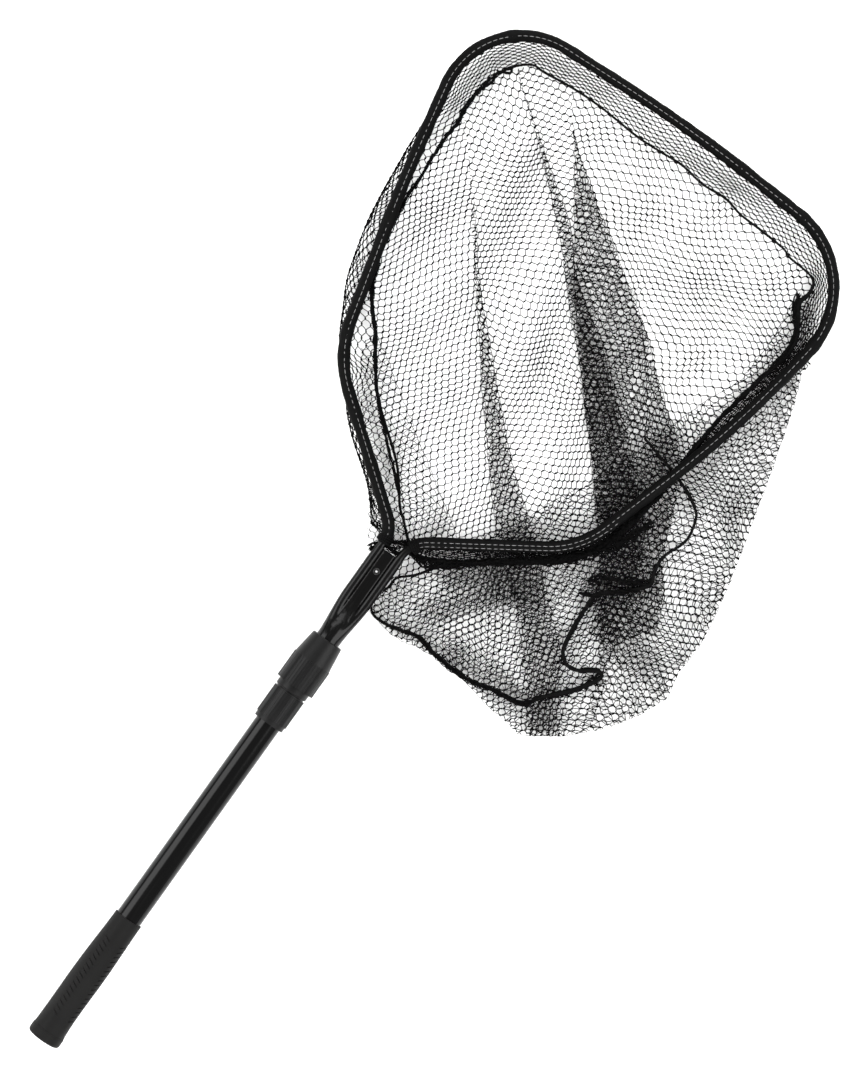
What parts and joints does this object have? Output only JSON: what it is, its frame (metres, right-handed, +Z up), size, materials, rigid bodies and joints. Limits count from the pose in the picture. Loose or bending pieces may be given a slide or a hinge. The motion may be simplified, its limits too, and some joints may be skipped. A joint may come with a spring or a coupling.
{
  "type": "landing net",
  "caption": "Telescopic landing net: round pole with rubber grip and twist lock, crimped hoop of bent tube with a stitched sleeve, and a collapsed black mesh bag.",
  "frame": {"origin": "centre of the butt end's flat face, on the pole's axis", "axes": "+X along the pole towards the hoop, +Z up and square to the hoop's plane, with the net lying flat and its bag spread to -Y"},
  "size_m": [1.2573, 0.61, 0.047],
  "materials": {
    "gloss_tube": "gloss black anodised tube",
    "grip_rubber": "matte moulded rubber",
    "lock_plastic": "satin moulded plastic",
    "rivet_steel": "blackened metal",
    "rim_cover": "coated woven sleeve, stitched",
    "net_mesh": "knotless nylon mesh",
    "net_cord": "braided nylon cord"
  },
  "bodies": {
    "handle": {"handle_tube": "gloss_tube", "grip_sleeve": "grip_rubber", "butt_plug": "lock_plastic", "clamp_body": "lock_plastic", "collet": "lock_plastic"},
    "nut": {"lock_nut": "lock_plastic"},
    "guide": {"guide_bush": "lock_plastic"},
    "head": {"inner_tube": "gloss_tube", "tube_spindle": "lock_plastic", "bush_washer": "rivet_steel", "bush_screw": "rivet_steel", "hoop_frame": "gloss_tube", "yoke_rivet": "rivet_steel", "rim_sleeve": "rim_cover", "sleeve_tie_left": "net_cord", "sleeve_tie_right": "net_cord", "net_band": "net_mesh", "net_front_panel": "net_mesh", "net_back_panel": "net_mesh", "net_bottom_panel": "net_mesh", "seam_cord_upper": "net_cord", "seam_cord_lower": "net_cord"}
  },
  "joints": [
    {"name": "telescope", "type": "slide", "parent": "handle", "child": "guide", "axis": [1, 0, 0], "range_m": [0, 0.35]},
    {"name": "swivel", "type": "hinge", "parent": "guide", "child": "head", "pos_m": [0.05, 0, 0], "axis": [1, 0, 0], "continuous": true},
    {"name": "lock_turn", "type": "hinge", "parent": "handle", "child": "nut", "pos_m": [0.5, 0, 0], "axis": [1, 0, 0], "range_deg": [0, 150]}
  ]
}
